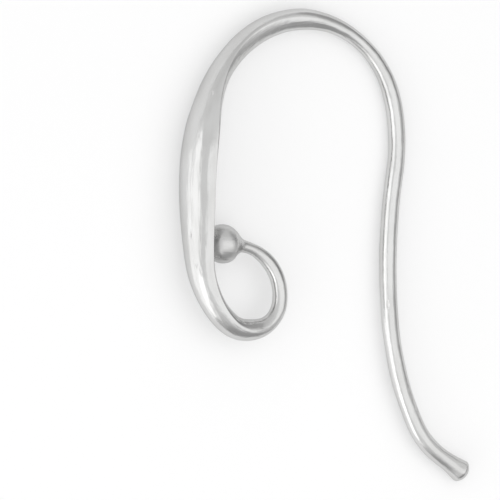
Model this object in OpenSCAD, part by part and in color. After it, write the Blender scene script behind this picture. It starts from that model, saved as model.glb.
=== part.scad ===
// Ear wire, cast in one piece: a leaf-shaped front drop runs up over the ear as a round hook wire,
// and curls under into an open loop that a ball closes against the drop's back.
// It lies on its side. X runs from the drop to the hook's back, Y up the drop to the arch, Z up.

/* [Front drop] */
// Greatest width of the drop
drop_width = 3; // [2.4:0.05:3.8]
// Greatest depth of the drop's rounded front, measured from its side crease
drop_depth = 1.2; // [0.9:0.02:1.5]
// Depth of the drop's almost flat back, measured from its side crease
drop_back = 0.1; // [0.04:0.01:0.2]
// Bend radius of the drop along its length
drop_bend = 33; // [26:1:45]
// Length of the drop above its most forward point
drop_rise = 5.2; // [4.2:0.1:6.2]
// Length of the drop below its most forward point
drop_fall = 2.6; // [2:0.1:3.2]

/* [Arch and hook wire] */
// Diameter of the round hook wire
wire_diameter = 0.9; // [0.7:0.02:1.1]
// Thickness of the arch at its top
arch_thickness = 1.12; // [0.9:0.02:1.4]
// Thickness of the arch where it is thinnest, past its top
arch_waist = 0.78; // [0.66:0.02:1]
// Bend radius of the shoulder between drop and arch
shoulder_bend = 7.2; // [5.5:0.1:10]
// Bend radius of the arch
arch_bend = 5.35; // [4.6:0.05:6.4]
// Bend radius of the wire's back, below the arch
back_bend = 9.4; // [7.5:0.1:12]
// Bend radius of the waist, which bows the other way
waist_bend = 30.5; // [24:0.5:42]
// Bend radius of the flare below the waist
flare_bend = 15.5; // [12:0.5:20]
// Bend radius of the tail, which turns away from the neck
tail_bend = 4.3; // [3.8:0.1:6]

/* [Domed tip] */
// Diameter of the tip's rim
tip_diameter = 1.18; // [1.12:0.02:1.5]
// Length over which the straight end of the wire flares to the rim
tip_flare = 1.3; // [0.9:0.05:1.8]
// Radius that rounds the rim
tip_rim = 0.24; // [0.18:0.01:0.3]
// Height of the dome above the middle of the rim
tip_dome = 0.4; // [0.32:0.02:0.5]

/* [Loop] */
// Diameter of the loop's wire
loop_wire = 0.8; // [0.6:0.02:0.96]
// Thickness of the loop at its foot
loop_foot = 1.12; // [0.9:0.02:1.4]
// Thickness of the neck where it is thinnest, behind the ball
neck_wire = 0.6; // [0.46:0.02:0.74]
// Bend radius of the heel, where the drop turns into the loop
heel_bend = 4.9; // [4:0.1:6]
// Bend radius of the loop's foot
foot_bend = 1.7; // [1.5:0.05:2]
// Bend radius of the loop's far side
side_bend = 2.6; // [2.3:0.05:3]
// Bend radius of the neck that runs into the ball
neck_bend = 6; // [4.5:0.1:9]
// Diameter of the ball
ball_diameter = 2.06; // [1.6:0.02:2.3]
// Gap between the ball and the drop's back, which lets the loop be opened
ball_gap = 0.04; // [0.02:0.01:0.12]

/* [Where the bends meet, as the direction that the wire's outer face looks in] */
// Shoulder and arch
shoulder_to_arch = 166; // [160:1:169]
// Arch and back
arch_to_back = 14; // [0:0.5:25]
// Back and waist
back_to_waist = -9.3; // [-14:0.1:-5]
// Waist and flare
waist_to_flare = 5.8; // [1:0.1:10]
// Flare and tail
flare_to_tail = 25; // [18:1:30]
// Tail and tip
tail_to_tip = 57; // [46:1:66]
// Heel and foot
heel_to_foot = 226; // [215:1:236]
// Foot and far side
foot_to_side = 354; // [335:1:365]
// Far side and neck
side_to_neck = 438; // [428:1:440]

/* [Hidden] */
// Sides of each ring of the skin
ring_sides = 24;
// Longest step from one ring to the next, in mm of length and in degrees of bend
ring_step = 0.5;
ring_turn = 9;
// Degrees from one ring of the ball to the next, and from the dome's last ring to its pole
ball_turn = 15;
dome_turn = 8;
// Rings on the tip's flare, rim and dome
flare_steps = 4;
rim_steps = 6;
dome_steps = 3;
// Step between the places tried for the hook's foot on the floor, as a share of a stretch
foot_step = 0.03;

// A bend is [start point, radius, outer face's direction at its start, and at its end].
// A bend that bows the other way has a negative radius.
function ray(angle) = [cos(angle), sin(angle)];
function facing(bend, along) = bend[2] + along * (bend[3] - bend[2]);
function point_on(bend, along) = bend[0] + bend[1] * (ray(facing(bend, along)) - ray(bend[2]));
function next_bend(bend, radius, to) = [point_on(bend, 1), radius, bend[3], to];
function centre_of(bend) = bend[0] - bend[1] * ray(bend[2]);
function length_of(bend) = abs(bend[1] * (bend[3] - bend[2])) * PI / 180;
function reversed(bend) = [point_on(bend, 1), bend[1], bend[3], bend[2]];
function turn_of(length, radius) = length / radius * 180 / PI;

// Bends of the drop, arch and hook wire, upwards from the drop's most forward point at [0, 0]
forwards = 180;
rise = [[0, 0], drop_bend, forwards, forwards - turn_of(drop_rise, drop_bend)];
shoulder = next_bend(rise, shoulder_bend, shoulder_to_arch);
arch = next_bend(shoulder, arch_bend, arch_to_back);
back = next_bend(arch, back_bend, back_to_waist);
waist = next_bend(back, -waist_bend, waist_to_flare);
flare = next_bend(waist, -flare_bend, flare_to_tail);
tail = next_bend(flare, -tail_bend, tail_to_tip);

// Bends of the heel and loop, downwards from the same point
fall = [[0, 0], drop_bend, forwards, forwards + turn_of(drop_fall, drop_bend)];
heel = next_bend(fall, heel_bend, heel_to_foot);
foot = next_bend(heel, foot_bend, foot_to_side);
side = next_bend(foot, side_bend, side_to_neck);

// The ball's centre lies where the neck's circle meets the circle on which the ball clears the back
ball_radius = ball_diameter / 2;
neck_centre = point_on(side, 1) - neck_bend * ray(side_to_neck);
to_drop = centre_of(fall) - neck_centre;
seat_radius = drop_bend - drop_back - ball_gap - ball_radius;
seat_cosine = (pow(neck_bend, 2) + pow(norm(to_drop), 2) - pow(seat_radius, 2))
    / (2 * neck_bend * norm(to_drop));
ball_facing = 360 + atan2(to_drop.y, to_drop.x) + acos(seat_cosine);
neck = next_bend(side, neck_bend, ball_facing);
ball_centre = point_on(neck, 1);

// Stretches of the wire, from the ball to the tip
stretches = [
    reversed(neck), reversed(side), reversed(foot), reversed(heel), reversed(fall),
    rise, shoulder, arch, back, waist, flare, tail
];
stretch_names = [
    "neck", "side", "foot", "heel", "fall",
    "rise", "shoulder", "arch", "back", "waist", "flare", "tail"
];
function number_of(name, names) = search([name], names)[0];
function run_before(i) = i == 0 ? 0 : run_before(i - 1) + length_of(stretches[i - 1]);
function run_at(i, along) = run_before(i) + along * length_of(stretches[i]);
function place(name, along) = run_at(number_of(name, stretch_names), along);

// Sections of the wire. The crease says how sharp the side edge is, where 1 is as round as an
// ellipse. Depths are measured from the two side edges.
wire_radius = wire_diameter / 2;
tip_radius = tip_diameter / 2;
neck_flare = 0.68 * neck_wire;
widest = 0.4;
columns = ["stretch", "along", "half width", "front depth", "back depth", "crease"];
sections = [
    ["neck", 0, neck_flare, neck_flare, neck_flare, 1],
    ["neck", 0.6, neck_flare, neck_flare, neck_flare, 1],
    ["neck", 0.85, 0.54 * neck_wire, 0.54 * neck_wire, 0.54 * neck_wire, 1],
    ["side", 0.12, neck_wire / 2, neck_wire / 2, neck_wire / 2, 1],
    ["side", 0.45, 0.48 * loop_wire, 0.48 * loop_wire, 0.48 * loop_wire, 1],
    ["side", 1, loop_wire / 2, loop_wire / 2, loop_wire / 2, 1],
    ["foot", 0.32, 0.14 * drop_width, 0.38 * loop_foot, 0.38 * loop_foot, 1],
    ["foot", 0.65, 0.20 * drop_width, 0.47 * loop_foot, 0.53 * loop_foot, 1],
    ["heel", 0, 0.25 * drop_width, 0.60 * drop_depth, 0.38 * drop_depth, 1],
    ["heel", 0.5, 0.29 * drop_width, 0.72 * drop_depth, 0.25 * drop_depth, 1],
    ["fall", 0, 0.37 * drop_width, 0.81 * drop_depth, 1.4 * drop_back, 1.1],
    ["fall", 0.5, 0.43 * drop_width, 0.89 * drop_depth, drop_back, 1.2],
    ["rise", 0, 0.48 * drop_width, 0.95 * drop_depth, drop_back, 1.2],
    ["rise", widest, 0.50 * drop_width, drop_depth, drop_back, 1.2],
    ["rise", 0.8, 0.47 * drop_width, 0.90 * drop_depth, 3.2 * drop_back, 1.2],
    ["shoulder", 0.5, 0.41 * drop_width, 0.67 * drop_depth, 0.37 * drop_depth, 1.1],
    ["arch", 0.08, 0.33 * drop_width, 0.49 * drop_depth, 0.44 * drop_depth, 1.15],
    ["arch", 0.2, 0.26 * drop_width, 0.46 * arch_thickness, 0.56 * arch_thickness, 1.2],
    ["arch", 0.33, 0.62 * arch_thickness, 0.49 * arch_thickness, 0.57 * arch_thickness, 1.1],
    ["arch", 0.48, 0.50 * arch_thickness, 0.50 * arch_thickness, 0.50 * arch_thickness, 1],
    ["arch", 0.74, arch_waist / 2, arch_waist / 2, arch_waist / 2, 1],
    ["arch", 1, wire_radius, wire_radius, wire_radius, 1],
    ["tail", 1, wire_radius, wire_radius, wire_radius, 1]
];
section_runs = [for (row = sections) place(row[0], row[1])];

// Smooth curve through one column of the table, at a run along the wire
function slope_at(i, column) = i == 0 || i == len(sections) - 1
    ? 0
    : (sections[i + 1][column] - sections[i - 1][column]) / (section_runs[i + 1] - section_runs[i - 1]);
function row_before(run) = max([for (i = [0:len(sections) - 2]) if (section_runs[i] <= run) i]);
function size_at(run, name) =
    let (column = number_of(name, columns))
    let (i = row_before(run))
    let (gap = section_runs[i + 1] - section_runs[i])
    let (t = min(1, (run - section_runs[i]) / gap))
    sections[i][column] * (1 + 2 * t) * pow(1 - t, 2)
    + slope_at(i, column) * gap * t * pow(1 - t, 2)
    + sections[i + 1][column] * (3 - 2 * t) * pow(t, 2)
    + slope_at(i + 1, column) * gap * (t - 1) * pow(t, 2);

// Rings: a section of the wire, and a round one of the ball or the dome
function ring_point(middle, outwards, offset, sideways) =
    [middle.x + offset * outwards.x, middle.y + offset * outwards.y, sideways];
function wire_ring(i, along) =
    let (run = run_at(i, along))
    [for (k = [0:ring_sides - 1])
        let (angle = 360 * k / ring_sides)
        let (depth = sin(angle) >= 0 ? size_at(run, "front depth") : -size_at(run, "back depth"))
        ring_point(
            point_on(stretches[i], along),
            ray(facing(stretches[i], along)),
            depth * pow(abs(sin(angle)), size_at(run, "crease")),
            size_at(run, "half width") * cos(angle)
        )];
function round_ring(middle, outwards, radius) =
    [for (k = [0:ring_sides - 1])
        let (angle = 360 * k / ring_sides)
        ring_point(middle, outwards, radius * sin(angle), radius * cos(angle))];
function along_of(outwards) = [outwards.y, -outwards.x];

// The ball runs from its pole to the ring where the neck leaves it
ball_out = ray(ball_facing);
neck_angle = asin(neck_flare / ball_radius);
ball_pole = ball_centre - ball_radius * along_of(ball_out);
ball_rings = [
    for (a = [180 - ball_turn:-ball_turn:neck_angle + ball_turn / 2])
        round_ring(ball_centre + ball_radius * cos(a) * along_of(ball_out), ball_out, ball_radius * sin(a))
];
neck_start = ball_radius * cos(neck_angle) / length_of(neck);
function start_of(i) = i == 0 ? neck_start : 0;
function steps_of(i) = ceil(max(
    (1 - start_of(i)) * length_of(stretches[i]) / ring_step,
    (1 - start_of(i)) * abs(stretches[i][3] - stretches[i][2]) / ring_turn
));
wire_rings = [
    for (i = [0:len(stretches) - 1])
        for (j = [(i == 0 ? 0 : 1):steps_of(i)])
            wire_ring(i, start_of(i) + (1 - start_of(i)) * j / steps_of(i))
];

// The tip flares along a hollow arc, turns over its rim and closes with a shallow dome, each
// arc running smoothly into the next. A place on it is [distance along, radius].
tip_out = ray(tail_to_tip);
rim_inset = tip_radius - tip_rim;
rim_step = wire_radius - rim_inset;
flare_hollow = (pow(rim_step, 2) + pow(tip_flare, 2) - pow(tip_rim, 2)) / (2 * (tip_rim - rim_step));
flare_turn = asin(tip_flare / (flare_hollow + tip_rim));
dome_radius = (pow(rim_inset, 2) + pow(tip_dome, 2) - pow(tip_rim, 2)) / (2 * (tip_dome - tip_rim));
rim_turn = acos(rim_inset / (dome_radius - tip_rim));
function steps(from, to, count) = [for (i = [1:count]) from + (to - from) * i / count];
tip_places = concat(
    [for (a = steps(0, flare_turn, flare_steps))
        [flare_hollow * sin(a), wire_radius + flare_hollow * (1 - cos(a))]],
    [for (a = steps(-flare_turn, rim_turn, rim_steps))
        [tip_flare + tip_rim * sin(a), rim_inset + tip_rim * cos(a)]],
    [for (a = steps(rim_turn, 90 - dome_turn, dome_steps))
        [tip_flare + tip_dome - dome_radius * (1 - sin(a)), dome_radius * cos(a)]]
);
tip_start = point_on(tail, 1);
tip_middle = tip_start + tip_flare * along_of(tip_out);
tip_pole = tip_middle + tip_dome * along_of(tip_out);
tip_rings = [
    for (spot = tip_places) round_ring(tip_start + spot[0] * along_of(tip_out), tip_out, spot[1])
];

skin_points = concat(
    [[ball_pole.x, ball_pole.y, 0]],
    [for (one = concat(ball_rings, wire_rings, tip_rings)) each one],
    [[tip_pole.x, tip_pole.y, 0]]
);

// The floor touches three feet: the drop's edge, the tip's rim, and the point of the hook that
// comes down first on the arch's side of the line between them
function at_depth(point, depth) = [point.x, point.y, -depth];
drop_foot = at_depth(point_on(rise, widest), size_at(place("rise", widest), "half width"));
tip_foot = at_depth(tip_middle, tip_radius);
function hook_feet_of(bend, name) = [
    for (along = [0:foot_step:1])
        at_depth(point_on(bend, along), size_at(place(name, along), "half width"))
];
hook_feet = concat(hook_feet_of(arch, "arch"), hook_feet_of(back, "back"));
foot_line = (tip_foot - drop_foot) / norm(tip_foot - drop_foot);
floor_side = cross([0, 0, 1], foot_line) / norm(cross([0, 0, 1], foot_line));
floor_up = cross(foot_line, floor_side);
foot_slopes = [for (spot = hook_feet) (spot - drop_foot) * floor_up / ((spot - drop_foot) * floor_side)];
hook_foot = hook_feet[search(min(foot_slopes), foot_slopes)[0]];
floor_normal = cross(foot_line, hook_foot - drop_foot);
lean_y = -atan2(floor_normal.x, floor_normal.z);
lean_x = atan2(floor_normal.y, norm([floor_normal.x, floor_normal.z]));
function leant_y(p) = [p.x * cos(lean_y) + p.z * sin(lean_y), p.y, p.z * cos(lean_y) - p.x * sin(lean_y)];
function leant_x(p) = [p.x, p.y * cos(lean_x) - p.z * sin(lean_x), p.y * sin(lean_x) + p.z * cos(lean_x)];
lying_points = [for (p = skin_points) leant_x(leant_y(p))];

// The origin is on the floor below the middle of the wire as it lies
function lowest(axis) = min([for (p = lying_points) p[axis]]);
function highest(axis) = max([for (p = lying_points) p[axis]]);
origin = [(lowest(0) + highest(0)) / 2, (lowest(1) + highest(1)) / 2, lowest(2)];

module skin(points) {
    last = len(points) - 1;
    last_ring = last - ring_sides;
    function next_side(k) = (k + 1) % ring_sides;
    polyhedron(
        points = points,
        faces = concat(
            [for (k = [0:ring_sides - 1]) [0, 1 + next_side(k), 1 + k]],
            [for (r = [1:ring_sides:last_ring - ring_sides]) for (k = [0:ring_sides - 1])
                let (a = r + k)
                let (b = r + next_side(k))
                each [[a, b, a + ring_sides], [b, b + ring_sides, a + ring_sides]]],
            [for (k = [0:ring_sides - 1]) [last_ring + k, last_ring + next_side(k), last]]
        )
    );
}

module ear_wire() {
    color("silver")
        translate(-origin)
            skin(lying_points);
}

ear_wire();
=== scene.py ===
"""Polished silver ear wire on a pale floor: one cast solid, lying on its side."""
import math

import bmesh
import bpy
from mathutils import Matrix, Vector, noise


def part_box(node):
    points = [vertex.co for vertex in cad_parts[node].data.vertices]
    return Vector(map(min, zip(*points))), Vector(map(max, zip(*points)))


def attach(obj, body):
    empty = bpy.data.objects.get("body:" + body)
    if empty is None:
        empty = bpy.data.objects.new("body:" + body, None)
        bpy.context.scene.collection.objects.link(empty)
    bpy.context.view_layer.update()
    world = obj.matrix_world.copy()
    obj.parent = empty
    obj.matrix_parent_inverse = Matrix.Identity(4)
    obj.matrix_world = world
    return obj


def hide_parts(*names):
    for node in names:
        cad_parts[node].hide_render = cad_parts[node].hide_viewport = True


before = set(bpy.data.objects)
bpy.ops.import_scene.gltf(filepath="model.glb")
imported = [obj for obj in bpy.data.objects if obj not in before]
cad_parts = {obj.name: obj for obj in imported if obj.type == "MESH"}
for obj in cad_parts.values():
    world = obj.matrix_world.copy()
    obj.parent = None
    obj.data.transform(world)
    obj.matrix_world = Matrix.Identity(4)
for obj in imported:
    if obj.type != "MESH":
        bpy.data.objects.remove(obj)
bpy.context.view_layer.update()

MM = 0.001

# ---------------------------------------------------------------- sizes of the wire, in mm
# Front drop. Each BEND is the radius of the even bend that the wire's middle line takes there
DROP_WIDTH = 3.0
DROP_DEPTH = 1.2
DROP_BACK = 0.1
DROP_BEND = 33.0
DROP_RISE = 5.2
DROP_FALL = 2.6

# Arch and hook wire
WIRE = 0.9
ARCH_THICKNESS = 1.12
ARCH_WAIST = 0.78
SHOULDER_BEND = 7.2
ARCH_BEND = 5.35
BACK_BEND = 9.4
WAIST_BEND = 30.5
FLARE_BEND = 15.5
TAIL_BEND = 4.3

# Domed tip
TIP_DIAMETER = 1.18
TIP_FLARE = 1.3
TIP_RIM = 0.24
TIP_DOME = 0.4

# Loop, neck and ball
LOOP_WIRE = 0.8
LOOP_FOOT = 1.12
NECK_WIRE = 0.6
HEEL_BEND = 4.9
FOOT_BEND = 1.7
SIDE_BEND = 2.6
NECK_BEND = 6.0
BALL_DIAMETER = 2.06
BALL_GAP = 0.04
# Length of the ball's half along the neck's line, as a share of its radius
BALL_SQUASH = 0.95
# Where the ball's round skin ends and runs on into the neck, in degrees from the neck's line
BALL_SHOULDER = 48.0

# Directions in degrees that the outer face looks in where two bends meet
FORWARDS = 180.0
SHOULDER_TO_ARCH = 166.0
ARCH_TO_BACK = 14.0
BACK_TO_WAIST = -9.3
WAIST_TO_FLARE = 5.8
FLARE_TO_TAIL = 25.0
TAIL_TO_TIP = 57.0
HEEL_TO_FOOT = 226.0
FOOT_TO_SIDE = 354.0
SIDE_TO_NECK = 438.0

# How the wire leans as it lies on its drop, its hook and its tip, in degrees
LEAN_X = -1.43901
LEAN_Y = 5.03736

# Where the back is flat, it is squarer than an ellipse, and the side crease lies EDGE_LIP mm
# further back. The higher a TIGHTNESS is, the closer to the crease the shift stays.
BACK_SQUARENESS = 0.6
EDGE_LIP = 0.04
EDGE_TIGHTNESS = 12
# The higher BACK_FADE is, the later the back takes on the front's sharpness where its flat ends
BACK_FADE = 4
# How firmly the smoothing keeps the side crease, for each unit of the section's sharpness above 1
CREASE_HOLD = 4.0
# The points of a ring beyond this share of its half width lie on its two side creases
SIDEMOST = 0.999

# The crease climbs outwards over the arch by RIDGE_CLIMB mm, between these shares of the arch
RIDGE_CLIMB = 0.2
RIDGE_START, RIDGE_END = 0.0, 0.66
RIDGE_TIGHTNESS = 3

# Height and length of the slight waves left by hand finishing, in mm
HAND_WAVE = 0.02
HAND_WAVE_LENGTH = 1.3

# Fineness of the skin before SMOOTHING subdivides it: each STEP and POLE_MERGE in mm, each TURN
# in degrees
RING_SIDES = 32
RING_STEP = 0.44
NECK_RING_STEP = 0.12
RING_TURN = 8.0
BALL_TURN = 12.0
FLARE_STEPS = 5
RIM_STEPS = 6
DOME_STEPS = 4
POLE_MERGE = 0.001
SMOOTHING = 2
# A run this much short of a row of the table, in mm, counts as having reached it
RUN_SLACK = 1e-9


# ---------------------------------------------------------------- the line of the wire
def ray(angle):
    """Direction in the hook's plane, from +X towards +Y."""
    return Vector((math.cos(math.radians(angle)), math.sin(math.radians(angle)), 0.0))


def along_of(outward):
    """Direction that the wire runs in, from the ball towards the tip."""
    return Vector((outward.y, -outward.x, 0))


def turn_of(length, radius):
    """How far a bend of this radius turns over this length, in degrees."""
    return math.degrees(length / radius)


class Bend:
    """An even bend of the wire. A negative radius bows it the other way."""

    def __init__(self, start, radius, facing_from, facing_to):
        self.radius = radius
        self.facing_from = facing_from
        self.facing_to = facing_to
        self.turn = facing_to - facing_from
        self.centre = start - radius * ray(facing_from)
        self.length = abs(radius * math.radians(self.turn))

    def facing(self, along):
        return self.facing_from + along * self.turn

    def point(self, along):
        return self.centre + self.radius * ray(self.facing(along))

    def then(self, radius, facing_to):
        return Bend(self.point(1), radius, self.facing_to, facing_to)

    def backwards(self):
        return Bend(self.point(1), self.radius, self.facing_to, self.facing_from)


def neck_after(side, fall):
    """The neck's bend, which ends in the ball's centre, clear of the drop's back."""
    centre = side.point(1) - NECK_BEND * ray(SIDE_TO_NECK)
    to_drop = fall.centre - centre
    seat = DROP_BEND - DROP_BACK - BALL_GAP - BALL_DIAMETER / 2
    reach = to_drop.length
    seat_cosine = (NECK_BEND ** 2 + reach ** 2 - seat ** 2) / (2 * NECK_BEND * reach)
    facing = math.degrees(math.atan2(to_drop.y, to_drop.x) + math.acos(seat_cosine))
    return side.then(NECK_BEND, 360 + facing)


def wire_line():
    """The wire's bends in order, from the ball to the tip."""
    front = Vector((0, 0, 0))
    rise = Bend(front, DROP_BEND, FORWARDS, FORWARDS - turn_of(DROP_RISE, DROP_BEND))
    shoulder = rise.then(SHOULDER_BEND, SHOULDER_TO_ARCH)
    arch = shoulder.then(ARCH_BEND, ARCH_TO_BACK)
    back = arch.then(BACK_BEND, BACK_TO_WAIST)
    waist = back.then(-WAIST_BEND, WAIST_TO_FLARE)
    flare = waist.then(-FLARE_BEND, FLARE_TO_TAIL)
    tail = flare.then(-TAIL_BEND, TAIL_TO_TIP)
    fall = Bend(front, DROP_BEND, FORWARDS, FORWARDS + turn_of(DROP_FALL, DROP_BEND))
    heel = fall.then(HEEL_BEND, HEEL_TO_FOOT)
    foot = heel.then(FOOT_BEND, FOOT_TO_SIDE)
    side = foot.then(SIDE_BEND, SIDE_TO_NECK)
    neck = neck_after(side, fall)
    return {
        "neck": neck.backwards(), "side": side.backwards(), "foot": foot.backwards(),
        "heel": heel.backwards(), "fall": fall.backwards(), "rise": rise,
        "shoulder": shoulder, "arch": arch, "back": back, "waist": waist,
        "flare": flare, "tail": tail,
    }


# ---------------------------------------------------------------- the sections of the wire
BALL_RADIUS = BALL_DIAMETER / 2
SHOULDER_RADIUS = BALL_RADIUS * math.sin(math.radians(BALL_SHOULDER))


def round_row(bend, along, radius, crease=1.0):
    """A row of the table below whose width and depths are the same."""
    return bend, along, radius, radius, radius, crease


# Bend, share along it, half width, front depth, back depth, and how sharp the side crease is
SECTIONS = [
    round_row("neck", 0.0, 1.62 * SHOULDER_RADIUS),
    round_row("neck", 0.47, SHOULDER_RADIUS),
    round_row("neck", 0.66, 0.9 * NECK_WIRE),
    round_row("neck", 0.85, 0.61 * NECK_WIRE),
    round_row("side", 0.03, 0.52 * NECK_WIRE),
    round_row("side", 0.15, 0.52 * NECK_WIRE),
    round_row("side", 0.45, 0.48 * LOOP_WIRE),
    round_row("side", 1.0, LOOP_WIRE / 2),
    ("foot", 0.32, 0.14 * DROP_WIDTH, 0.38 * LOOP_FOOT, 0.38 * LOOP_FOOT, 1.0),
    ("foot", 0.65, 0.20 * DROP_WIDTH, 0.47 * LOOP_FOOT, 0.53 * LOOP_FOOT, 1.1),
    ("heel", 0.0, 0.25 * DROP_WIDTH, 0.60 * DROP_DEPTH, 0.38 * DROP_DEPTH, 1.2),
    ("heel", 0.5, 0.29 * DROP_WIDTH, 0.72 * DROP_DEPTH, 0.25 * DROP_DEPTH, 1.2),
    ("fall", 0.0, 0.37 * DROP_WIDTH, 0.81 * DROP_DEPTH, 1.4 * DROP_BACK, 1.15),
    ("fall", 0.5, 0.43 * DROP_WIDTH, 0.89 * DROP_DEPTH, DROP_BACK, 1.2),
    ("rise", 0.0, 0.48 * DROP_WIDTH, 0.95 * DROP_DEPTH, DROP_BACK, 1.2),
    ("rise", 0.4, 0.50 * DROP_WIDTH, DROP_DEPTH, DROP_BACK, 1.2),
    ("rise", 0.8, 0.47 * DROP_WIDTH, 0.90 * DROP_DEPTH, 3.2 * DROP_BACK, 1.2),
    ("shoulder", 0.5, 0.41 * DROP_WIDTH, 0.67 * DROP_DEPTH, 0.37 * DROP_DEPTH, 1.2),
    ("arch", 0.08, 0.33 * DROP_WIDTH, 0.49 * DROP_DEPTH, 0.44 * DROP_DEPTH, 1.35),
    ("arch", 0.2, 0.26 * DROP_WIDTH, 0.46 * ARCH_THICKNESS, 0.56 * ARCH_THICKNESS, 1.4),
    ("arch", 0.33, 0.62 * ARCH_THICKNESS, 0.49 * ARCH_THICKNESS, 0.57 * ARCH_THICKNESS, 1.35),
    round_row("arch", 0.48, 0.50 * ARCH_THICKNESS, 1.15),
    round_row("arch", 0.74, ARCH_WAIST / 2),
    round_row("arch", 1.0, WIRE / 2, 1.1),
    round_row("flare", 0.9, WIRE / 2, 1.1),
    round_row("tail", 1.0, WIRE / 2),
]


def run_starts(line):
    """Length of wire before each bend."""
    starts, run = {}, 0.0
    for name, bend in line.items():
        starts[name] = run
        run += bend.length
    return starts


def section_at(line, starts, run):
    """Half width, front depth, back depth and crease, on a smooth curve through the table."""
    rows = [(starts[name] + along * line[name].length, sizes)
            for name, along, *sizes in SECTIONS]

    def slope(i, column):
        if i == 0 or i == len(rows) - 1:
            return 0.0
        after, before = rows[i + 1], rows[i - 1]
        return (after[1][column] - before[1][column]) / (after[0] - before[0])

    i = max(k for k in range(len(rows) - 1) if rows[k][0] <= run + RUN_SLACK)
    (run_before, sizes_before), (run_after, sizes_after) = rows[i], rows[i + 1]
    gap = run_after - run_before
    t = min(1.0, (run - run_before) / gap)
    return [
        before * (1 + 2 * t) * (1 - t) ** 2
        + slope(i, column) * gap * t * (1 - t) ** 2
        + after * (3 - 2 * t) * t ** 2
        + slope(i + 1, column) * gap * (t - 1) * t ** 2
        for column, (before, after) in enumerate(zip(sizes_before, sizes_after))
    ]


# ---------------------------------------------------------------- the skin of the wire
def ring_edges(ring):
    """Edges between the neighbours of one ring."""
    verts = set(ring)
    return list({e for v in ring for e in v.link_edges if e.other_vert(v) in verts})


def bend_rings(bm, line, first_share):
    """Bends a ring of wire through every bend in turn, and gives [bend's name, along, verts]."""
    name, bend = next(iter(line.items()))
    outward = ray(bend.facing(first_share))
    place = Matrix.Translation(bend.point(first_share)) @ Matrix((
        (0, outward.x, outward.y, 0),
        (0, outward.y, -outward.x, 0),
        (1, 0, 0, 0),
        (0, 0, 0, 1),
    ))
    made = bmesh.ops.create_circle(
        bm, cap_ends=False, segments=RING_SIDES, radius=1.0, matrix=place)
    ring = made["verts"]
    rings = [(name, first_share, ring)]
    for name, bend in line.items():
        start = first_share if name == "neck" else 0.0
        left = 1.0 - start
        ring_step = NECK_RING_STEP if name == "neck" else RING_STEP
        steps = math.ceil(max(
            left * bend.length / ring_step, left * abs(bend.turn) / RING_TURN))
        for step in range(1, steps + 1):
            spun = bmesh.ops.spin(
                bm, geom=list(ring) + ring_edges(ring), cent=bend.centre, axis=(0, 0, 1),
                angle=math.radians(left * bend.turn / steps), steps=1, use_merge=False,
            )
            ring = [g for g in spun["geom_last"] if isinstance(g, bmesh.types.BMVert)]
            rings.append((name, start + left * step / steps, ring))
    return rings


def ridge_climb(name, along):
    """How far outwards the crease has climbed here: a smooth rise and fall over the arch."""
    if name != "arch":
        return 0.0
    from_middle = (2 * along - RIDGE_START - RIDGE_END) / (RIDGE_END - RIDGE_START)
    return RIDGE_CLIMB * max(0.0, 1 - from_middle ** 2) ** 2


def shape_ring(layers, line, starts, name, along, ring):
    """Gives a ring its section: its width, its depth in front and behind, and its crease."""
    bend = line[name]
    middle, outward = bend.point(along), ray(bend.facing(along))
    run = starts[name] + along * bend.length
    half_width, front, behind, crease = section_at(line, starts, run)
    flatness = max(0.0, 1 - 2 * behind / front)
    squareness = flatness * BACK_SQUARENESS - (crease - 1) * (1 - flatness) ** BACK_FADE
    climb = ridge_climb(name, along)
    firmness = min(1.0, CREASE_HOLD * max(0.0, crease - 1))
    straight, hold = layers
    ring_verts = set(ring)
    for vert in ring:
        out, sideways = (vert.co - middle).dot(outward), vert.co.z
        if out >= 0:
            offset = front * out ** crease
        else:
            offset = -behind * abs(out) ** (1 - squareness)
        offset -= flatness * EDGE_LIP * abs(sideways) ** EDGE_TIGHTNESS
        offset += climb * abs(sideways) ** RIDGE_TIGHTNESS
        vert[straight] = (half_width * sideways, offset, run)
        vert.co = middle + offset * outward + Vector((0, 0, half_width * sideways))
        if abs(sideways) > SIDEMOST:
            for edge in vert.link_edges:
                if edge.other_vert(vert) not in ring_verts:
                    edge[hold] = firmness


def turn_on_lathe(bm, straight, profile, start, outward, run):
    """Spins a profile of [distance along, radius] about its axis, and gives its open rim."""
    along, sideways = along_of(outward), Vector((0, 0, 1))
    before = set(bm.verts)
    verts = [bm.verts.new(start + d * along + r * sideways) for d, r in profile]
    edges = [bm.edges.new(pair) for pair in zip(verts, verts[1:])]
    bmesh.ops.spin(
        bm, geom=verts + edges, cent=start, axis=along,
        angle=math.radians(360), steps=RING_SIDES, use_merge=True,
    )
    bmesh.ops.remove_doubles(bm, verts=list(set(bm.verts) - before), dist=POLE_MERGE)
    turned = set(bm.verts) - before
    for vert in turned:
        arm = vert.co - start
        vert[straight] = (arm.z, arm.dot(outward), run + arm.dot(along))
    return [e for e in bm.edges if e.is_boundary and e.verts[0] in turned]


def ball_reach(angle):
    """How far along its axis the squashed ball's skin is. Its far pole is a plain ball's."""
    plain = BALL_RADIUS * math.cos(math.radians(angle))
    return BALL_SQUASH * plain - (1 - BALL_SQUASH) * BALL_RADIUS


def ball_profile():
    """From the ball's far pole to just before the neck leaves it, as distances and radii."""
    steps = round((180 - BALL_SHOULDER) / BALL_TURN)
    return [(ball_reach(180 - i * BALL_TURN), BALL_RADIUS * math.sin(math.radians(i * BALL_TURN)))
            for i in range(steps)]


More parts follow.
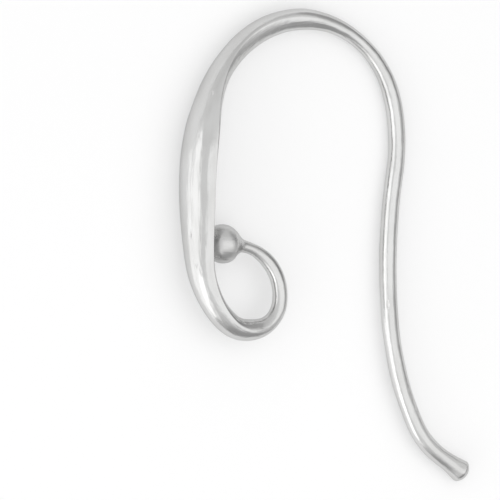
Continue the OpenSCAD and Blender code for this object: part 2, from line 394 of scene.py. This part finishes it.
def tip_profile():
    """A hollow flare, a rounded rim and a shallow dome, each running smoothly into the next."""
    rim_inset = TIP_DIAMETER / 2 - TIP_RIM
    rim_step = WIRE / 2 - rim_inset
    hollow = (rim_step ** 2 + TIP_FLARE ** 2 - TIP_RIM ** 2) / (2 * (TIP_RIM - rim_step))
    flare_turn = math.asin(TIP_FLARE / (hollow + TIP_RIM))
    dome = (rim_inset ** 2 + TIP_DOME ** 2 - TIP_RIM ** 2) / (2 * (TIP_DOME - TIP_RIM))
    rim_turn = math.acos(rim_inset / (dome - TIP_RIM))

    def steps(start, end, count):
        return [start + (end - start) * i / count for i in range(1, count + 1)]

    flare = [(hollow * math.sin(a), WIRE / 2 + hollow * (1 - math.cos(a)))
             for a in steps(0, flare_turn, FLARE_STEPS)]
    rim = [(TIP_FLARE + TIP_RIM * math.sin(a), rim_inset + TIP_RIM * math.cos(a))
           for a in steps(-flare_turn, rim_turn, RIM_STEPS)]
    crown = [(TIP_FLARE + TIP_DOME - dome * (1 - math.sin(a)), dome * math.cos(a))
             for a in steps(rim_turn, math.pi / 2, DOME_STEPS)]
    return flare + rim + crown


def hand_finish(bm):
    """Slight waves that filing and polishing by hand leave in the skin."""
    bm.normal_update()
    waves = [HAND_WAVE * noise.noise(vert.co / HAND_WAVE_LENGTH) for vert in bm.verts]
    for vert, wave in zip(bm.verts, waves):
        vert.co += wave * vert.normal


def make_ear_wire():
    """The whole skin, standing in the hook's plane, in mm."""
    line = wire_line()
    starts = run_starts(line)
    neck, tail = line["neck"], line["tail"]
    bm = bmesh.new()
    straight = bm.verts.layers.float_vector.new("straight")
    hold = bm.edges.layers.float.new("crease_edge")

    rings = bend_rings(bm, line, ball_reach(BALL_SHOULDER) / neck.length)
    for name, along, ring in rings:
        shape_ring((straight, hold), line, starts, name, along, ring)

    ball_rim = turn_on_lathe(
        bm, straight, ball_profile(), neck.point(0), ray(neck.facing(0)), 0.0)
    tip_rim = turn_on_lathe(
        bm, straight, tip_profile(), tail.point(1), ray(TAIL_TO_TIP),
        starts["tail"] + tail.length)
    bmesh.ops.bridge_loops(bm, edges=ball_rim + ring_edges(rings[0][2]))
    bmesh.ops.bridge_loops(bm, edges=tip_rim + ring_edges(rings[-1][2]))
    bmesh.ops.recalc_face_normals(bm, faces=bm.faces)
    hand_finish(bm)
    return bm


def lay_down(bm):
    """Leans the wire onto the floor, where the frame's own solid lies, and turns mm to metres."""
    lean = (Matrix.Rotation(math.radians(LEAN_X), 4, "X")
            @ Matrix.Rotation(math.radians(LEAN_Y), 4, "Y"))
    bmesh.ops.transform(bm, matrix=Matrix.Scale(MM, 4) @ lean, verts=bm.verts)
    lowest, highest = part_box("ear_wire")
    spans = [(min(v.co[k] for v in bm.verts), max(v.co[k] for v in bm.verts)) for k in range(3)]
    shift = Vector((
        (lowest.x + highest.x - sum(spans[0])) / 2,
        (lowest.y + highest.y - sum(spans[1])) / 2,
        lowest.z - spans[2][0],
    ))
    bmesh.ops.translate(bm, vec=shift, verts=bm.verts)
    return lean, shift


def add_piece(name, bm):
    """Turns a finished mesh into a smooth-shaded object of the scene."""
    mesh = bpy.data.meshes.new(name)
    bm.to_mesh(mesh)
    bm.free()
    for face in mesh.polygons:
        face.use_smooth = True
    piece = bpy.data.objects.new(name, mesh)
    bpy.context.scene.collection.objects.link(piece)
    return piece


ear_bm = make_ear_wire()
lean, shift = lay_down(ear_bm)
silver_wire = add_piece("silver_wire", ear_bm)
skin = silver_wire.modifiers.new("skin", "SUBSURF")
skin.levels = skin.render_levels = SMOOTHING


# ---------------------------------------------------------------- nodes of materials and world
class ShadingTree:
    """Adds and joins the nodes of a material or of the world."""

    def __init__(self, owner):
        owner.use_nodes = True
        self.nodes = owner.node_tree.nodes
        self.links = owner.node_tree.links

    def add(self, kind, **settings):
        node = self.nodes.new(kind)
        for name, value in settings.items():
            setattr(node, name, value)
        return node

    def feed(self, socket, value):
        """Gives a socket another node's output, or else a fixed value."""
        if isinstance(value, bpy.types.NodeSocket):
            self.links.new(value, socket)
        else:
            socket.default_value = value

    def maths(self, operation, *values):
        node = self.add("ShaderNodeMath", operation=operation)
        for socket, value in zip(node.inputs, values):
            self.feed(socket, value)
        return node.outputs["Value"]

    def vector_maths(self, operation, *values, result="Vector"):
        node = self.add("ShaderNodeVectorMath", operation=operation)
        for socket, value in zip(node.inputs, values):
            self.feed(socket, value)
        return node.outputs[result]

    def spread(self, value, old_range, new_range):
        """Spreads a pattern's values smoothly from one range to another."""
        span = self.add("ShaderNodeMapRange", interpolation_type="SMOOTHSTEP")
        self.feed(span.inputs["Value"], value)
        for end, old, new in zip(("Min", "Max"), old_range, new_range):
            self.feed(span.inputs["From " + end], old)
            self.feed(span.inputs["To " + end], new)
        return span.outputs["Result"]

    def grain(self, spot, stretch, scale, detail):
        """Noise in mm of the wire's own straightened shape, stretched along it."""
        place = self.add("ShaderNodeMapping")
        self.feed(place.inputs["Vector"], spot)
        self.feed(place.inputs["Scale"], (1.0, 1.0, 1.0 / stretch))
        cloud = self.add("ShaderNodeTexNoise")
        self.feed(cloud.inputs["Vector"], place.outputs["Vector"])
        self.feed(cloud.inputs["Scale"], scale)
        self.feed(cloud.inputs["Detail"], detail)
        return cloud.outputs["Fac"]


# ---------------------------------------------------------------- silver
CLEAN_SILVER = (0.66, 0.66, 0.656, 1)
DULL_SILVER = (0.6, 0.598, 0.592, 1)
GRAZING_TINT = (0.75, 0.75, 0.75, 1)
# Parts of the noise's range over which the colour turns from clean to dull, the polish wears,
# and the polishing lines roughen it
DULL_PATCHES = (0.35, 0.7)
WORN_PATCHES = (0.3, 0.75)
BRUSHED_LINES = (0.3, 0.7)
# Roughness of the best polish and the worst, what the polishing lines add to it at most, and
# what the recess beside the ball adds, which fades between two lengths of wire from the ball in mm
WORN_ROUGHNESS = (0.08, 0.16)
LINE_ROUGHNESS = 0.08
RECESS_ROUGHNESS = 0.16
RECESS_RUN = (1.2, 3.0)
# Height of the polishing lines in mm, and of the rest of the relief as a multiple of that
LINE_HEIGHT = 0.011
SATIN_HEIGHT = 0.2
DENT_HEIGHT = 1.5
PIT_DEPTH = 2.2
# Small pits that the casting left, in mm: each one's place as sideways, outwards and along the
# wire from the ball, then its reach across the wire and along it
PITS = [
    ((0.38, -0.24, 45.7), 0.1, 0.3),
    ((0.35, 0.27, 51.4), 0.1, 0.18),
    ((0.89, 0.44, 20.9), 0.08, 0.14),
    ((0.55, 0.94, 13.7), 0.06, 0.25),
    ((0.64, 0.74, 12.2), 0.06, 0.2),
]
# Noise that makes the pits' rims ragged, and how far out their slopes reach
RAGGED_SCALE = 14.0
PIT_SLOPE = (0.5, 1.7)


def pit_depth(tree, spot):
    """1 in the middle of each pit, 0 away from them all."""
    ragged = tree.add("ShaderNodeTexNoise")
    tree.feed(ragged.inputs["Vector"], spot)
    tree.feed(ragged.inputs["Scale"], RAGGED_SCALE)
    depth = 0.0
    for middle, across, along in PITS:
        apart = tree.vector_maths("SUBTRACT", spot, middle)
        scaled = tree.vector_maths("DIVIDE", apart, (across, across, along))
        far = tree.vector_maths("LENGTH", scaled, result="Value")
        rough_far = tree.maths("ADD", far, ragged.outputs["Fac"])
        depth = tree.maths("MAXIMUM", depth, tree.spread(rough_far, PIT_SLOPE, (1.0, 0.0)))
    return depth


def silver_material():
    """Polished silver with fine lines, duller patches, faint dents and a few casting pits."""
    material = bpy.data.materials.new("polished_silver")
    tree = ShadingTree(material)
    shader = tree.nodes["Principled BSDF"]
    shader.inputs["Metallic"].default_value = 1.0
    shader.inputs["Specular Tint"].default_value = GRAZING_TINT
    spot = tree.add("ShaderNodeAttribute", attribute_name="straight").outputs["Vector"]

    lines = tree.grain(spot, stretch=22.0, scale=9.0, detail=4.0)
    patches = tree.grain(spot, stretch=3.0, scale=1.1, detail=2.0)
    satin = tree.grain(spot, stretch=2.0, scale=26.0, detail=2.0)
    dents = tree.grain(spot, stretch=1.6, scale=2.6, detail=1.0)

    colour = tree.add("ShaderNodeMix", data_type="RGBA")
    tree.feed(colour.inputs["Factor"], tree.spread(patches, DULL_PATCHES, (0.0, 1.0)))
    tree.feed(colour.inputs["A"], CLEAN_SILVER)
    tree.feed(colour.inputs["B"], DULL_SILVER)
    tree.feed(shader.inputs["Base Color"], colour.outputs["Result"])

    run = tree.add("ShaderNodeSeparateXYZ")
    tree.feed(run.inputs["Vector"], spot)
    recess = tree.spread(run.outputs["Z"], RECESS_RUN, (1.0, 0.0))
    worn = tree.spread(patches, WORN_PATCHES, WORN_ROUGHNESS)
    brushed = tree.spread(lines, BRUSHED_LINES, (0.0, LINE_ROUGHNESS))
    dull = tree.maths("MULTIPLY", recess, RECESS_ROUGHNESS)
    polish = tree.maths("ADD", tree.maths("ADD", worn, brushed), dull)
    tree.feed(shader.inputs["Roughness"], polish)

    height = tree.maths("ADD", lines, tree.maths("MULTIPLY", satin, SATIN_HEIGHT))
    height = tree.maths("ADD", height, tree.maths("MULTIPLY", dents, DENT_HEIGHT))
    pits = tree.maths("MULTIPLY", pit_depth(tree, spot), PIT_DEPTH)
    relief = tree.add("ShaderNodeBump")
    tree.feed(relief.inputs["Distance"], MM * LINE_HEIGHT)
    tree.feed(relief.inputs["Height"], tree.maths("SUBTRACT", height, pits))
    tree.feed(shader.inputs["Normal"], relief.outputs["Normal"])
    return material


silver_wire.data.materials.append(silver_material())
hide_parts("ear_wire")
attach(silver_wire, "root")


# ---------------------------------------------------------------- floor
FLOOR_SIDE = 1200.0
FLOOR_COLOUR = (0.6, 0.6, 0.6, 1)
FLOOR_ROUGHNESS = 0.6
FLOOR_GLOW = 0.34
WHITE = (1, 1, 1, 1)


def floor_material():
    """Pale and matt, with a little glow of its own that keeps it near white."""
    material = bpy.data.materials.new("pale_floor")
    shader = ShadingTree(material).nodes["Principled BSDF"]
    shader.inputs["Base Color"].default_value = FLOOR_COLOUR
    shader.inputs["Roughness"].default_value = FLOOR_ROUGHNESS
    shader.inputs["Emission Color"].default_value = WHITE
    shader.inputs["Emission Strength"].default_value = FLOOR_GLOW
    return material


floor_bm = bmesh.new()
bmesh.ops.create_grid(floor_bm, x_segments=1, y_segments=1, size=MM * FLOOR_SIDE / 2)
floor = add_piece("floor", floor_bm)
floor.data.materials.append(floor_material())

# ---------------------------------------------------------------- light
ROOM_GLOW = 0.88
# Darker places of the room: the direction to each, the cosines of the angles from it where the
# shade starts and where it is full, and the share of the glow that is left there
ROOM_PLACES = [
    ((1.0, 0.1, 0.0), (0.7, 0.98), 0.58),
    ((0.0, 1.0, 0.15), (0.5, 0.95), 0.85),
    ((0.3, -0.95, 0.1), (0.55, 0.9), 0.48),
    ((0.8, 0.55, 0.22), (0.86, 0.94), 0.6),
]
# Soft panels, in mm: middle, what it faces, sides across and along Y, glow, and shape
PANELS = {
    "left_panel": ((-150, -50, 45), (0, -8, 0), (115, 270), 0.42, "ELLIPSE"),
    "low_strip": ((-12.4, -4, 1.0), (-8, -4, 1.4), (1.8, 20), 0.3, "ELLIPSE"),
    "wire_strip": ((0.3, -3, 3.5), (4.2, -3, 0.7), (2.2, 23), 0.42, "ELLIPSE"),
    "tail_strip": ((11.2, -8.6, 3.1), (7.2, -10.5, 0.8), (3.0, 5), 0.3, "ELLIPSE"),
    "low_corner_panel": ((-110, -110, 70), (0, -4, 0), (90, 90), 0.4, "RECTANGLE"),
    "right_panel": ((22, -20, 105), (2, -10, 0), (165, 95), 0.32, "RECTANGLE"),
    "floor_light": ((0, 0, 160), (0, 0, 0), (220, 220), 0.42, "RECTANGLE"),
}
# The strips stand close to the drop, the hook wire and the tail, and are only mirrored in them
ONLY_MIRRORED = ("low_strip", "wire_strip", "tail_strip")
NEVER_MIRRORED = ("floor_light",)


def studio_room():
    """Pale room light, a little darker towards each of a few places."""
    world = bpy.data.worlds.new("studio")
    tree = ShadingTree(world)
    background = tree.nodes["Background"]
    background.inputs["Color"].default_value = WHITE
    looking = tree.add("ShaderNodeTexCoord").outputs["Generated"]
    glow = ROOM_GLOW
    for direction, shade_range, factor in ROOM_PLACES:
        facing = tree.vector_maths(
            "DOT_PRODUCT", looking, Vector(direction).normalized(), result="Value")
        glow = tree.maths("MULTIPLY", glow, tree.spread(facing, shade_range, (1.0, factor)))
    tree.feed(background.inputs["Strength"], glow)
    bpy.context.scene.world = world


def add_softbox(name, place, aim, size, glow, shape):
    """A soft panel that the camera itself doesn't see, turned towards what it lights."""
    across, along = (side * MM for side in size)
    data = bpy.data.lights.new(name, "AREA")
    data.shape = shape
    data.size, data.size_y = across, along
    data.energy = glow * math.pi * across * along
    light = bpy.data.objects.new(name, data)
    back = (Vector(place) - Vector(aim)).normalized()
    side = Vector((0, 1, 0)).cross(back).normalized()
    turn = Matrix((side, back.cross(side), back)).transposed()
    light.matrix_world = Matrix.Translation(MM * Vector(place)) @ turn.to_4x4()
    light.visible_camera = False
    light.visible_diffuse = name not in ONLY_MIRRORED
    light.visible_glossy = name not in NEVER_MIRRORED
    bpy.context.scene.collection.objects.link(light)


studio_room()
for panel_name, panel in PANELS.items():
    add_softbox(panel_name, *panel)

# ---------------------------------------------------------------- camera
# The middle of the photograph's frame on the standing wire and the frame's width, in mm, and how
# far round the wire's length the camera stands towards the drop, in degrees. The lens is long,
# because the photograph shows hardly any perspective. CLIP_START is in metres.
VIEW_CENTRE = Vector((2.739, -2.06, 0.0))
FRAME_WIDTH = 25.75
VIEW_TURN = 26.0
LENS = 1200.0
SENSOR = 36.0
CLIP_START = 0.01

turn = math.radians(VIEW_TURN)
towards_camera = lean @ Vector((-math.sin(turn), 0, math.cos(turn)))
view_up = lean @ Vector((0, 1, 0))
view_right = view_up.cross(towards_camera)
target = MM * (lean @ VIEW_CENTRE) + shift
distance = FRAME_WIDTH * MM * LENS / SENSOR

camera_data = bpy.data.cameras.new("camera")
camera_data.lens = LENS
camera_data.sensor_width = SENSOR
camera_data.clip_start = CLIP_START
camera = bpy.data.objects.new("camera", camera_data)
camera.matrix_world = Matrix.Translation(target + distance * towards_camera) @ Matrix((
    view_right, view_up, towards_camera)).transposed().to_4x4()
bpy.context.scene.collection.objects.link(camera)
bpy.context.scene.camera = camera
bpy.context.scene.view_settings.view_transform = "Standard"
